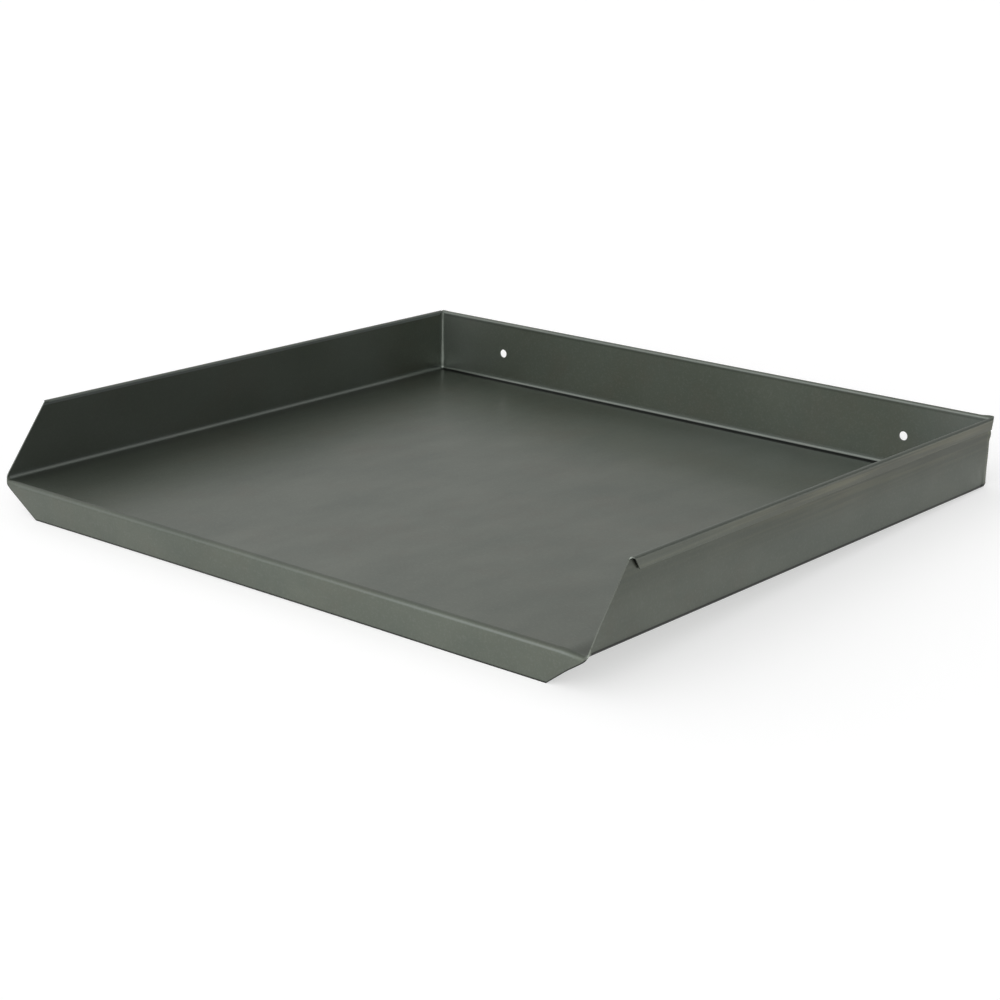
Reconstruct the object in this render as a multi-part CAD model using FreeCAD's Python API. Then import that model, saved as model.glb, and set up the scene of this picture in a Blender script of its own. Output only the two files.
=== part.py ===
import FreeCAD, Part
import math
import os

# An open-fronted tray folded from one blank of sheet steel, to catch oil that drains from parts or machinery.
# Each panel and each fold of the blank is its own solid, and neighbours meet face to face at the bend lines.
# The sections below are drawn with x = 0 on the tray's centre plane, y = 0 on the front lip's face at its
# top, and z = 0 on the floor's top face. place() then moves them to the tray's own frame: +Z up, +Y to the
# back wall, origin at the middle of the tray's length and width, level with the lip's lower edge.

# Driving dimensions, in millimetres and degrees
INNER_WIDTH = 508.0        # between the side walls' inner faces
INNER_DEPTH = 457.2        # from the lip's face to the back wall's inner face
WALL_HEIGHT = 49.2         # from the floor's top face to the top of the hems
SHEET = 0.9                # thickness of the sheet
BEND_RADIUS = 2.5          # inside radius of every bend at the floor and of the rear corners
FRONT_SLANT = 37.5         # how far the side walls' top edges stop short of the lip's face
LIP_DROP = 24.8            # from the floor's top face down to the lip's lower edge
LIP_OVERBEND = 8.0         # how far past square the lip is folded
LIP_FOOT = 2.1             # flat strip of the floor that belongs to the lip
HEM_HEIGHT = 8.8           # from the top of a hem to its lower edge
SIDE_HEM_RADIUS = 0.75     # inside radius of a side hem's roll
SIDE_HEM_CLOSING = 7.5     # how far past a half turn the side hems are rolled, so that they narrow downwards
BACK_HEM_RADIUS = 1.0      # inside radius of the rear hem's roll, wide enough to hold the folded corners
BACK_HEM_OVERHANG = 0.6    # how far the rear hem's ends stand past the side walls
EAR_THICKNESS = 2 * SHEET  # a corner's spare metal is folded double
EAR_EDGE_RADIUS = 0.8      # rounding of the ear's sloping folded edge
CORNER_RADIUS = 2.4        # outside rounding of a rear corner's upright edge
HOLE_DIAMETER = 6.6        # clearance for a 1/4 in or M6 bolt
HOLE_SPACING = 374.6       # between the two holes in the back wall
HOLE_HEIGHT = 23.1         # from the floor's top face to the holes' centres

# Sizes that follow from them
HALF_WIDTH = INNER_WIDTH / 2
OUTER_BEND = BEND_RADIUS + SHEET
SIDE_ROOT = WALL_HEIGHT - SHEET - SIDE_HEM_RADIUS   # height at which the side walls end and their hems begin
BACK_ROOT = WALL_HEIGHT - SHEET - BACK_HEM_RADIUS   # the same for the back wall
BACK_DEPTH = SHEET + 2 * BACK_HEM_RADIUS + SHEET    # from the back wall's inner face to the rear of its hem
CUT_SLOPE = FRONT_SLANT / WALL_HEIGHT      # the blank's front corners are cut off by one straight line each
MARGIN = 20.0                              # how far the cutting tools reach past what they cut
MIDDLE_Y = (INNER_DEPTH + BACK_DEPTH) / 2


def place(shape):
    """The shape moved from the drawing's axes to the tray's own frame."""
    return shape.translated(FreeCAD.Vector(0, -MIDDLE_Y, LIP_DROP))


def save(name, shape):
    """One sub-part as a STEP file of its own."""
    place(shape).exportStep("parts/" + name + ".step")


def across_x(a, b):
    """A section point of a panel that runs along X."""
    return FreeCAD.Vector(0, a, b)


def across_y(a, b):
    """A section point of a panel that runs along Y."""
    return FreeCAD.Vector(a, 0, b)


def step_along(point, heading, length):
    """The point that lies length away in the direction heading, in degrees."""
    angle = math.radians(heading)
    return (point[0] + length * math.cos(angle), point[1] + length * math.sin(angle))


def strip_section(start, heading, moves, to_space):
    """The section of a folded strip of sheet as a face, and where its path ends.

    The path runs along one face of the sheet, and the thickness is on its left. A move is ("flat", length) or
    ("bend", inside radius, degrees), where a positive bend turns left.
    """
    point = start
    near, far = [], []
    for move in moves:
        if move[0] == "flat":
            after = step_along(point, heading, move[1])
            pieces = []
            for offset in (0.0, SHEET):
                ends = [step_along(p, heading + 90, offset) for p in (point, after)]
                pieces.append(Part.LineSegment(*[to_space(*p) for p in ends]))
        else:
            side = math.copysign(1.0, move[2])
            radii = (move[1] + SHEET, move[1]) if side > 0 else (move[1], move[1] + SHEET)
            centre = step_along(point, heading + 90 * side, radii[0])
            pieces = []
            for radius in radii:
                turns = [heading - 90 * side + move[2] * share for share in (0, 0.5, 1)]
                along = [step_along(centre, turn, radius) for turn in turns]
                pieces.append(Part.Arc(*[to_space(*p) for p in along]))
            after = step_along(centre, heading - 90 * side + move[2], radii[0])
            heading += move[2]
        near.append(pieces[0])
        far.append(pieces[1])
        point = after
    start_cap = Part.LineSegment(far[0].StartPoint, near[0].StartPoint)
    end_cap = Part.LineSegment(near[-1].EndPoint, far[-1].EndPoint)
    edges = [curve.toShape() for curve in [start_cap, *near, end_cap, *far]]
    wire = Part.Wire(Part.__sortEdges__(edges))
    return Part.Face(wire), point, heading


def run_along_x(section, low, high):
    """A section drawn across X, drawn out from x = low to x = high."""
    return section.translated(FreeCAD.Vector(low, 0, 0)).extrude(FreeCAD.Vector(high - low, 0, 0))


def run_along_y(section, low, high):
    """A section drawn across Y, drawn out from y = low to y = high."""
    return section.translated(FreeCAD.Vector(0, low, 0)).extrude(FreeCAD.Vector(0, high - low, 0))


def polygon(points, to_space):
    """A flat face with these corners."""
    corners = [to_space(*p) for p in points]
    return Part.Face(Part.makePolygon(corners + corners[:1]))


def mirrored(shape):
    """The same part for the other side of the tray."""
    return shape.mirror(FreeCAD.Vector(0, 0, 0), FreeCAD.Vector(1, 0, 0))


def floor_panel():
    """The flat of the floor, between its four bend lines."""
    side = HALF_WIDTH - BEND_RADIUS
    front = OUTER_BEND + LIP_FOOT
    length = INNER_DEPTH - BEND_RADIUS - front
    return Part.makeBox(2 * side, length, SHEET, FreeCAD.Vector(-side, front, -SHEET))


def wall_moves(root):
    """From the floor's bend line up to the root of the hem, along the outer face."""
    return [("bend", BEND_RADIUS, 90), ("flat", root - BEND_RADIUS)]


def hem_moves(radius, closing):
    """From the root of the hem up to its crown, then over the rest of its roll and down its flange."""
    roll_end = WALL_HEIGHT - SHEET - radius - radius * math.sin(math.radians(closing))
    flange = (roll_end - (WALL_HEIGHT - HEM_HEIGHT)) / math.cos(math.radians(closing))
    return [("bend", radius, -90)], [("bend", radius, -90 - closing), ("flat", flange)]


def front_cutter(low_x, high_x, outline):
    """What is cut away in front of a side panel, between two planes of constant x."""
    return run_along_x(polygon(outline, across_x), low_x, high_x)


def wall_cut_outline():
    """In front of a side wall: the lip's bend line, then the slant of the blank's cut corner."""
    top = WALL_HEIGHT + MARGIN
    return [
        (-MARGIN, -MARGIN),
        (OUTER_BEND, -MARGIN),
        (OUTER_BEND, OUTER_BEND / CUT_SLOPE),
        (top * CUT_SLOPE, top),
        (-MARGIN, top),
    ]


def flange_cut_outline():
    """In front of a side hem's flange: the same slant, turned over by the roll."""
    low = WALL_HEIGHT - HEM_HEIGHT - MARGIN
    top = WALL_HEIGHT + MARGIN
    return [
        (-MARGIN, low),
        ((2 * WALL_HEIGHT - low) * CUT_SLOPE, low),
        ((2 * WALL_HEIGHT - top) * CUT_SLOPE, top),
        (-MARGIN, top),
    ]


def right_wall():
    """Side wall with its floor bend, from the slanted front end to the rear corner."""
    section, _, _ = strip_section((HALF_WIDTH - BEND_RADIUS, -SHEET), 0, wall_moves(SIDE_ROOT), across_y)
    wall = run_along_y(section, 0, INNER_DEPTH - BEND_RADIUS)
    return wall.cut(front_cutter(HALF_WIDTH - MARGIN, HALF_WIDTH + MARGIN, wall_cut_outline()))


def right_wall_hem():
    """Side hem, open at its front end, where the blank's slanted cut runs on down the flange."""
    up, down = hem_moves(SIDE_HEM_RADIUS, SIDE_HEM_CLOSING)
    inner, crown, heading = strip_section((HALF_WIDTH + SHEET, SIDE_ROOT), 90, up, across_y)
    outer, _, _ = strip_section(crown, heading, down, across_y)
    low_x, high_x = HALF_WIDTH - MARGIN, HALF_WIDTH + MARGIN
    inner = run_along_y(inner, 0, INNER_DEPTH).cut(front_cutter(low_x, high_x, wall_cut_outline()))
    outer = run_along_y(outer, 0, INNER_DEPTH).cut(front_cutter(low_x, high_x, flange_cut_outline()))
    return inner.fuse(outer).removeSplitter()


def back_wall():
    """Rear wall with its floor bend and two mounting holes."""
    section, _, _ = strip_section((INNER_DEPTH - BEND_RADIUS, -SHEET), 0, wall_moves(BACK_ROOT), across_x)
    side = HALF_WIDTH - BEND_RADIUS
    wall = run_along_x(section, -side, side)
    for x in (-HOLE_SPACING / 2, HOLE_SPACING / 2):
        start = FreeCAD.Vector(x, INNER_DEPTH - MARGIN, HOLE_HEIGHT)
        wall = wall.cut(Part.makeCylinder(HOLE_DIAMETER / 2, 2 * MARGIN, start, FreeCAD.Vector(0, 1, 0)))
    return wall


def back_wall_hem():
    """Rear hem: its flange stands parallel to the wall, to leave room for the folded corners."""
    up, down = hem_moves(BACK_HEM_RADIUS, 0)
    section, _, _ = strip_section((INNER_DEPTH + SHEET, BACK_ROOT), 90, up + down, across_x)
    side = HALF_WIDTH + SHEET + BACK_HEM_OVERHANG
    return run_along_x(section, -side, side)


def front_lip():
    """Lip turned down from the floor's front edge, with mitred ends."""
    turn = 90 + LIP_OVERBEND
    bend_drop = OUTER_BEND * (1 + math.sin(math.radians(LIP_OVERBEND)))
    flange = (LIP_DROP - bend_drop) / math.cos(math.radians(LIP_OVERBEND))
    moves = [("bend", BEND_RADIUS, turn), ("flat", flange)]
    section, _, _ = strip_section((OUTER_BEND, 0), 180, moves, across_x)
    lip = run_along_x(section, -HALF_WIDTH - MARGIN, HALF_WIDTH + MARGIN)

    def end_x(z):
        """Half the lip's width at height z, on the blank's straight cut."""
        return HALF_WIDTH + (2 * SHEET + z) / CUT_SLOPE

    low = -LIP_DROP - MARGIN
    right = [(end_x(low), low), (HALF_WIDTH, -2 * SHEET), (HALF_WIDTH, MARGIN)]
    left = [(-x, z) for x, z in reversed(right)]
    lip = lip.common(run_along_y(polygon(right + left, across_y), -MARGIN, INNER_DEPTH))
    side = HALF_WIDTH - BEND_RADIUS
    foot = Part.makeBox(2 * side, LIP_FOOT, SHEET, FreeCAD.Vector(-side, OUTER_BEND, -SHEET))
    return lip.fuse(foot).removeSplitter()


def corner_post():
    """The upright of a rear corner, rounded inside, up to the side hem and the rear hem that cover it."""
    low = FreeCAD.Vector(HALF_WIDTH - BEND_RADIUS, INNER_DEPTH - BEND_RADIUS, BEND_RADIUS)
    under_side_hem = Part.makeBox(OUTER_BEND, BEND_RADIUS, SIDE_ROOT - BEND_RADIUS, low)
    under_back_hem = Part.makeBox(OUTER_BEND, OUTER_BEND, BACK_ROOT - BEND_RADIUS, low)
    post = under_side_hem.fuse(under_back_hem)
    return post.cut(Part.makeCylinder(BEND_RADIUS, WALL_HEIGHT, low, FreeCAD.Vector(0, 0, 1)))


def corner_cup():
    """The eighth of a hollow ball where the three bends of a rear corner meet."""
    centre = FreeCAD.Vector(HALF_WIDTH - BEND_RADIUS, INNER_DEPTH - BEND_RADIUS, BEND_RADIUS)
    shell = Part.makeSphere(OUTER_BEND, centre).cut(Part.makeSphere(BEND_RADIUS, centre))
    eighth = Part.makeBox(MARGIN, MARGIN, MARGIN, centre - FreeCAD.Vector(0, 0, MARGIN))
    return shell.common(eighth)


def corner_ear():
    """The blank's spare corner, folded double on a 45 degree line and laid flat behind the back wall."""
    outside = HALF_WIDTH + SHEET
    front = INNER_DEPTH + SHEET
    back = front + EAR_THICKNESS
    outline = [(outside, 0), (outside, BACK_ROOT), (outside - BACK_ROOT, BACK_ROOT)]
    ear = run_along_y(polygon(outline, across_y), front, back)
    return ear.makeFillet(EAR_EDGE_RADIUS, [edge for edge in ear.Edges if is_fold_edge(edge, back)])


def is_fold_edge(edge, back):
    """Whether an edge is the sloping one on the ear's rear face."""
    run = edge.tangentAt(edge.FirstParameter)
    return abs(edge.CenterOfMass.y - back) < 0.01 and abs(abs(run.x) - abs(run.z)) < 0.01


def beyond_rounding():
    """What lies outside the rounding of a rear corner's upright edge."""
    middle = FreeCAD.Vector(
        HALF_WIDTH + SHEET - CORNER_RADIUS,
        INNER_DEPTH + SHEET + EAR_THICKNESS - CORNER_RADIUS,
        -MARGIN,
    )
    height = WALL_HEIGHT + 2 * MARGIN
    return Part.makeBox(MARGIN, MARGIN, height, middle).cut(Part.makeCylinder(CORNER_RADIUS, height, middle))


def right_rear_corner_fold():
    """A whole rear corner: rounded upright, cup at its foot and ear behind the back wall."""
    fold = corner_post().fuse([corner_cup(), corner_ear()]).removeSplitter()
    return fold.cut(beyond_rounding())


os.makedirs("parts", exist_ok=True)
save("floor_panel", floor_panel())
save("back_wall", back_wall())
save("back_wall_hem", back_wall_hem())
save("front_lip", front_lip())
for side_part in (right_wall, right_wall_hem, right_rear_corner_fold):
    shape = side_part()
    save(side_part.__name__, shape)
    save(side_part.__name__.replace("right", "left"), mirrored(shape))
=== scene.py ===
import bpy
import math
import numpy as np
from mathutils import Matrix, Vector


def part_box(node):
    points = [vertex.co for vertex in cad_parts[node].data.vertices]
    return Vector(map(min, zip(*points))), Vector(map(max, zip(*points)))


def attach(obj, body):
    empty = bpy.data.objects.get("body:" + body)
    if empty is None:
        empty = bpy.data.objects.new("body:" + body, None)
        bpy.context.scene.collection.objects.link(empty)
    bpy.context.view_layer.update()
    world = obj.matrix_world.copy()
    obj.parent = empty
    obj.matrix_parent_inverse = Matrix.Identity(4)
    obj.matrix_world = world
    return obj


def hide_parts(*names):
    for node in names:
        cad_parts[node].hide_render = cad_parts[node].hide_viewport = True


# An open-fronted oil drain pan, folded from one blank of sheet steel. Every piece is a folded sheet with its
# real thickness. Lengths are in metres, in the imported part's frame: +Y to the back wall, +Z up.

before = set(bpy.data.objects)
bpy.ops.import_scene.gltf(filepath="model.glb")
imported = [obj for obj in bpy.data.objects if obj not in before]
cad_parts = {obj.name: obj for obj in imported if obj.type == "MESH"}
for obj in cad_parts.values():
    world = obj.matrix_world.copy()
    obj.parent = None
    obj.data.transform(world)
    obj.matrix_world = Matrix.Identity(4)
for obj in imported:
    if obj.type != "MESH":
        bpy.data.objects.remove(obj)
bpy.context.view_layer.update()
MM = 0.001

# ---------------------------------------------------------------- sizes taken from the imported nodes
floor_low, floor_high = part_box("floor_panel")
wall_low, wall_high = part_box("right_wall")
back_low, back_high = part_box("back_wall")
side_hem_low, side_hem_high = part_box("right_wall_hem")
back_hem_low, back_hem_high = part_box("back_wall_hem")
lip_low, lip_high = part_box("front_lip")

SHEET = floor_high.z - floor_low.z
HALF = SHEET / 2
FLOOR_TOP = floor_high.z
FLOOR_MID = FLOOR_TOP - HALF
FLAT_X = floor_high.x                               # where the side walls' bends begin
FLAT_BACK = floor_high.y                            # where the back wall's bend begins
BEND = wall_high.x - wall_low.x - SHEET             # inside radius of the floor's bends
BEND_MID = BEND + HALF
HALF_WIDTH = FLAT_X + BEND                          # to the side walls' inner faces
INNER_BACK = FLAT_BACK + BEND                       # the back wall's inner face
LIP_FACE = lip_low.y                                # the front of the lip's bend
FLAT_FRONT = LIP_FACE + BEND + SHEET                # where the lip's bend begins
WALL_TOP = side_hem_high.z
SIDE_ROOT = wall_high.z
BACK_ROOT = back_high.z
SIDE_ROLL = side_hem_high.z - SIDE_ROOT - SHEET     # inside radius of a side hem's roll
BACK_ROLL = back_hem_high.z - BACK_ROOT - SHEET     # the same for the rear hem
HEM_LOW = back_hem_low.z
BACK_HEM_END = back_hem_high.x
OUTSIDE = HALF_WIDTH + SHEET                        # the side walls' outer faces

# ---------------------------------------------------------------- sizes that the boxes don't hold
CUT_SLOPE = 37.5 / 49.2                             # the blank's front corners are cut off on this slope
LIP_OVERBEND = math.radians(8.0)
SIDE_CLOSING = math.radians(7.5)                    # the side hems are rolled this far past a half turn
HOLE_RADIUS = 3.3 * MM
HOLE_BLOCK = 7.5 * MM                               # half the square round a hole that rings of faces fill
HOLE_X = 187.3 * MM
HOLE_Z = FLOOR_TOP + 23.1 * MM
CUT_ROUNDING = 0.13 * MM                            # a sheared edge is a little rounded
JOINT_ROUNDING = 0.01 * MM                          # panels meet almost sharp at the bend lines


# ---------------------------------------------------------------- folded profiles
class Profile:
    """The middle line of a folded strip, by the distance along it. A turn to the left is positive."""

    def __init__(self, start, heading, moves):
        self.pieces = []
        self.length = 0.0
        point = np.array(start, float)
        for move in moves:
            if move[0] == "flat":
                run, turn, radius = move[1], 0.0, None
            else:
                turn, radius = move[2], move[1] + HALF
                run = abs(turn) * radius
            self.pieces.append((self.length, point, heading, turn, radius))
            point = self.walk(self.pieces[-1], np.array([run]))[0]
            heading += turn
            self.length += run
        self.ends = [piece[0] for piece in self.pieces[1:]] + [self.length]

    @staticmethod
    def walk(piece, run):
        """Points at these distances along one flat or bend."""
        _, point, heading, turn, radius = piece
        if radius is None:
            along = np.array([math.cos(heading), math.sin(heading)])
            return point + run[:, None] * along
        side = math.copysign(1.0, turn)
        centre = point + side * radius * np.array([-math.sin(heading), math.cos(heading)])
        angle = heading + side * run / radius
        return centre + side * radius * np.stack([np.sin(angle), -np.cos(angle)], 1)

    def at(self, s):
        """Points at these distances from the start, carried straight on past both ends."""
        s = np.asarray(s, float)
        out = np.empty((len(s), 2))
        index = np.clip(np.searchsorted(self.ends, s), 0, len(self.pieces) - 1)
        for i, piece in enumerate(self.pieces):
            chosen = index == i
            out[chosen] = self.walk(piece, s[chosen] - piece[0])
        return out


def steps(low, high, spacing):
    """Evenly spaced values from low to high, at most this far apart."""
    return np.linspace(low, high, max(2, int(math.ceil((high - low) / spacing)) + 1))


def chain(*runs):
    """Several runs of values as one, without the repeated ends."""
    return np.unique(np.round(np.concatenate(runs), 9))


# ---------------------------------------------------------------- unevenness of a hand-folded sheet
FLOOR_CROWN = 0.25 * MM
WALL_BOW = 0.30 * MM
UPRIGHT_RADIUS = 1.9 * MM                           # inside radius of the rear uprights at their top
FOOT_SOFTENING = 1.5 * MM                           # what is added to it at their foot
PUCKERS = (                                         # slope, height and reach of the ridges by a rear corner
    (0.45, 0.55 * MM, 28 * MM),
    (1.15, 0.40 * MM, 20 * MM),
)
FOOT_DROP = 1.1 * MM                                # how far the right wall's foot hangs
LIP_LIFT = 0.6 * MM                                 # how far the lip's lower edge rises in its middle
LIP_SPREAD = 1.4 * MM                               # how much wider the lip's left end is at its bend
TIP_SPREAD = 1.7 * MM                               # what is added to that at its tip


def waves(points, seed, size, count=5):
    """Smooth, gentle unevenness about zero, from a few sine waves, with features of about this size."""
    rng = np.random.default_rng(seed)
    total = np.zeros(len(points))
    for _ in range(count):
        direction = rng.normal(size=3)
        direction /= np.linalg.norm(direction)
        wavelength = size * rng.uniform(0.7, 1.8)
        total += np.sin(points @ direction * 2 * math.pi / wavelength + rng.uniform(0, 2 * math.pi))
    return total / math.sqrt(count)


def fade(value, start, end):
    """0 before start, 1 after end, and smooth between them."""
    t = np.clip((value - start) / (end - start), 0, 1)
    return t * t * (3 - 2 * t)


def corner_radius(z):
    """Inside radius of the rear uprights, which the folding leaves softer toward the foot."""
    return UPRIGHT_RADIUS + FOOT_SOFTENING * (1 - fade(z, FLOOR_TOP, FLOOR_TOP + 26 * MM))


def arc_gap(across, radius):
    """How far a rounded right-angled corner lies inside the sharp one, at this place along its diagonal."""
    reach = np.minimum(np.abs(across), radius / math.sqrt(2))
    return radius * math.sqrt(2) - np.sqrt(radius ** 2 - reach ** 2) - reach


def soften_corners(points, moved):
    """Opens the rear uprights from the plain bend radius to their own."""
    x, y, z = points.T
    side = HALF_WIDTH + HALF - np.abs(x)
    back = INNER_BACK + HALF - y
    across = (side - back) / math.sqrt(2)
    near = (side < 8 * MM) & (back < 8 * MM) & (side > -0.5 * MM) & (back > -0.5 * MM)
    rise = fade(z, FLOOR_MID, FLOOR_MID + BEND_MID) * (1 - fade(z, BACK_ROOT - 5 * MM, BACK_ROOT - 0.5 * MM))
    gap = arc_gap(across, corner_radius(z) + HALF) - arc_gap(across, np.full(len(z), BEND_MID))
    shift = np.where(near, gap * rise, 0) / math.sqrt(2)
    moved[:, 0] -= np.sign(x) * shift
    moved[:, 1] -= shift


def pucker(points, moved):
    """Small ridges that run up the walls from the foot of each rear corner."""
    x, y, z = points.T
    up = z - FLOOR_TOP
    on_back = fade(y, FLAT_BACK, INNER_BACK) * (HALF_WIDTH - np.abs(x) > 0)
    on_side = fade(np.abs(x), FLAT_X, HALF_WIDTH) * (INNER_BACK - y > 0)
    walls = ((on_back, HALF_WIDTH - np.abs(x), 1, 1), (on_side, INNER_BACK - y, 0, np.sign(x)))
    for place, run, axis, sign in walls:
        far = np.hypot(run, up)
        for slope, height, reach in PUCKERS:
            off = (up - slope * run) / math.hypot(1, slope)
            strength = fade(far, 2 * MM, 7 * MM) * (1 - fade(far, 8 * MM, reach))
            ridge = np.exp(-(off / (1.6 * MM + 0.12 * far)) ** 2)
            moved[:, axis] -= sign * place * height * ridge * strength


def sag(points, moved):
    """Lets the right wall's foot hang a little, and lifts the lip's lower edge in its middle."""
    x, _, z = points.T
    foot = fade(x, FLAT_X - 14 * MM, FLAT_X + MM) * (1 - fade(z, FLOOR_TOP + BEND, FLOOR_TOP + 14 * MM))
    moved[:, 2] -= foot * FOOT_DROP
    middle = np.clip(1 - ((x + 0.06) / 0.22) ** 2, 0, 1)
    moved[:, 2] += LIP_LIFT * middle * (1 - fade(z, lip_low.z, lip_low.z + 20 * MM))


def spread_lip(points, moved):
    """Leaves the lip's left end wider than its right one, most at the tip."""
    x, _, z = points.T
    near_end = (x < 0) * (1 - fade(lip_half_width_at(z) - np.abs(x), 0, 25 * MM))
    spread = LIP_SPREAD + TIP_SPREAD * np.clip(1 - z / (20 * MM), 0, 1)
    moved[:, 0] -= near_end * spread * (1 - fade(z, FLOOR_TOP - 6 * MM, FLOOR_TOP - 1.5 * MM))


def uneven(points):
    """The points moved as the real sheet strays from flat.

    The floor is crowned, the walls bow inward, and the corners pucker, sag and spread.
    """
    x, y, z = points.T
    moved = points.copy()
    across = np.clip(1 - (x / HALF_WIDTH) ** 2, 0, 1)
    along = np.clip(1 - (y / INNER_BACK) ** 2, 0, 1)
    on_floor = 1 - fade(z, FLOOR_TOP, FLOOR_TOP + 3 * MM)
    moved[:, 2] += on_floor * across * along * (FLOOR_CROWN + 0.10 * MM * waves(points, 3, 0.22))
    rise = np.clip((z - FLOOR_TOP) / (WALL_TOP - FLOOR_TOP), 0, 1)
    belly = rise * (1 - rise) * 1.6
    at_side = fade(np.abs(x), FLAT_X, HALF_WIDTH)
    moved[:, 0] -= np.sign(x) * at_side * along * belly * WALL_BOW * (1 + waves(points, 8, 0.13))
    at_back = fade(y, FLAT_BACK, INNER_BACK)
    moved[:, 1] -= at_back * across * belly * WALL_BOW * (1 + waves(points, 14, 0.13))
    soften_corners(points, moved)
    pucker(points, moved)
    sag(points, moved)
    spread_lip(points, moved)
    return moved


# ---------------------------------------------------------------- building a sheet of real thickness
def weld(u, v, quads, points):
    """The same net with points that coincide made one, and faces with repeated corners reduced."""
    keys = np.round(points / (0.002 * MM)).astype(np.int64)
    _, first, index = np.unique(keys, axis=0, return_index=True, return_inverse=True)
    index = index.ravel()
    faces = []
    for quad in quads:
        corners = [index[i] for i in quad]
        kept = [c for k, c in enumerate(corners) if c != corners[k - 1]]
        if len(set(kept)) >= 3:
            faces.append(kept)
    return u[first], v[first], faces


def boundary_loops(faces):
    """The open edges of a net as closed loops of point numbers, with the sheet on their left."""
    edges = {(a, b) for face in faces for a, b in zip(face, face[1:] + face[:1])}
    follow = {a: b for a, b in edges if (b, a) not in edges}
    loops = []
    while follow:
        start, here = follow.popitem()
        loop = [start]
        while here != start:
            loop.append(here)
            here = follow.pop(here)
        loops.append(loop)
    return loops


def outward(points, normals, loop):
    """At each point of a loop, the direction in the sheet that leads off it, longer at corners."""
    p = points[loop]
    before = p - np.roll(p, 1, 0)
    after = np.roll(p, -1, 0) - p
    sides = []
    for run in (before, after):
        side = np.cross(run, normals[loop])
        sides.append(side / np.linalg.norm(side, axis=1)[:, None])
    mean = sides[0] + sides[1]
    mean /= np.linalg.norm(mean, axis=1)[:, None]
    return mean / np.clip((mean * sides[0]).sum(1), 0.5, 1)[:, None]


def fan_normal(points, faces, corner):
    """The normal at a point where a net's rows close up, from the faces around it."""
    total = np.zeros(3)
    for face in faces:
        if corner in face:
            p = points[face]
            for k in range(1, len(face) - 1):
                total += np.cross(p[k] - p[0], p[k + 1] - p[0])
    return total / np.linalg.norm(total)


def middle_normals(placed, u, v, faces, mirror):
    """Points of a middle surface and its normals there."""
    small = 0.02 * MM
    points = placed(u, v)
    along_u = placed(u + small, v) - placed(u - small, v)
    along_v = placed(u, v + small) - placed(u, v - small)
    normals = np.cross(along_u, along_v)
    size = np.linalg.norm(normals, axis=1)
    normals /= np.where(size > 0, size, 1)[:, None]
    if mirror:
        normals = -normals
    for i in np.flatnonzero(size < 1e-3 * np.median(size)):
        normals[i] = fan_normal(points, faces, i)
    return points, normals


def rim_rings(points, up, away, radius):
    """The rings of points round a sheet's edge, with their normals, which round it off from face to face."""
    unit = away / np.linalg.norm(away, axis=1)[:, None]
    turn = math.pi / 4
    for angle, sign in ((turn, 1.0), (2 * turn, 1.0), (2 * turn, -1.0), (turn, -1.0)):
        lift = HALF - radius * (1 - math.cos(angle))
        ring = points - away * radius * (1 - math.sin(angle)) + sign * up * lift
        yield ring, unit * math.sin(angle) + sign * up * math.cos(angle)


def sheet_solid(surface, u, v, faces, joint, marks, mirror=False):
    """A closed solid from the middle surface of a sheet, with exact normals, as arrays for a mesh.

    surface(u, v) gives points of the middle surface, and joint(points) says which rim points meet a
    neighbour. marks(points, side) gives painted highlight, oil and painted shade at each point: side is 1 on
    the face that the normal leaves, -1 on the other and 0 on the rim.
    """
    flip = np.array([-1.0 if mirror else 1.0, 1.0, 1.0])

    def placed(uu, vv):
        return uneven(surface(uu, vv) * flip)

    u, v, faces = weld(u, v, faces, surface(u, v))
    if mirror:
        faces = [face[::-1] for face in faces]
    points, normals = middle_normals(placed, u, v, faces, mirror)
    vertices = [points + normals * HALF, points - normals * HALF]
    vertex_normals = [normals, -normals]
    plain = surface(u, v)
    count = len(points)
    kinds = [np.stack([*marks(plain, side), np.zeros(count)], 1) for side in (1, -1)]
    rim_kinds = np.stack([*marks(plain, 0), np.zeros(count)], 1)
    polygons = [list(face) for face in faces] + [[i + count for i in face[::-1]] for face in faces]
    total = 2 * count
    for loop in boundary_loops(faces):
        away, up = outward(points, normals, loop), normals[loop]
        radius = np.where(joint(plain[loop]), JOINT_ROUNDING, CUT_ROUNDING)[:, None]
        for face_vertices, sign in zip(vertices, (1.0, -1.0)):
            face_vertices[loop] = points[loop] - away * radius + sign * up * HALF
        edge = rim_kinds[loop].copy()
        edge[:, 3] = radius[:, 0] > JOINT_ROUNDING
        rings = [np.array(loop)]
        for ring, ring_normals in rim_rings(points[loop], up, away, radius):
            vertices.append(ring)
            vertex_normals.append(ring_normals)
            kinds.append(edge)
            rings.append(np.arange(total, total + len(loop)))
            total += len(loop)
        rings.append(np.array(loop) + count)
        following = np.roll(np.arange(len(loop)), -1)
        for first, second in zip(rings, rings[1:]):
            for a, b in enumerate(following):
                polygons.append([first[a], second[a], second[b], first[b]])
    return np.concatenate(vertices), np.concatenate(vertex_normals), np.concatenate(kinds), polygons


MARKS = ("painted_highlight", "oil", "shade", "rim")              # what the material reads at each point of a sheet


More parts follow.
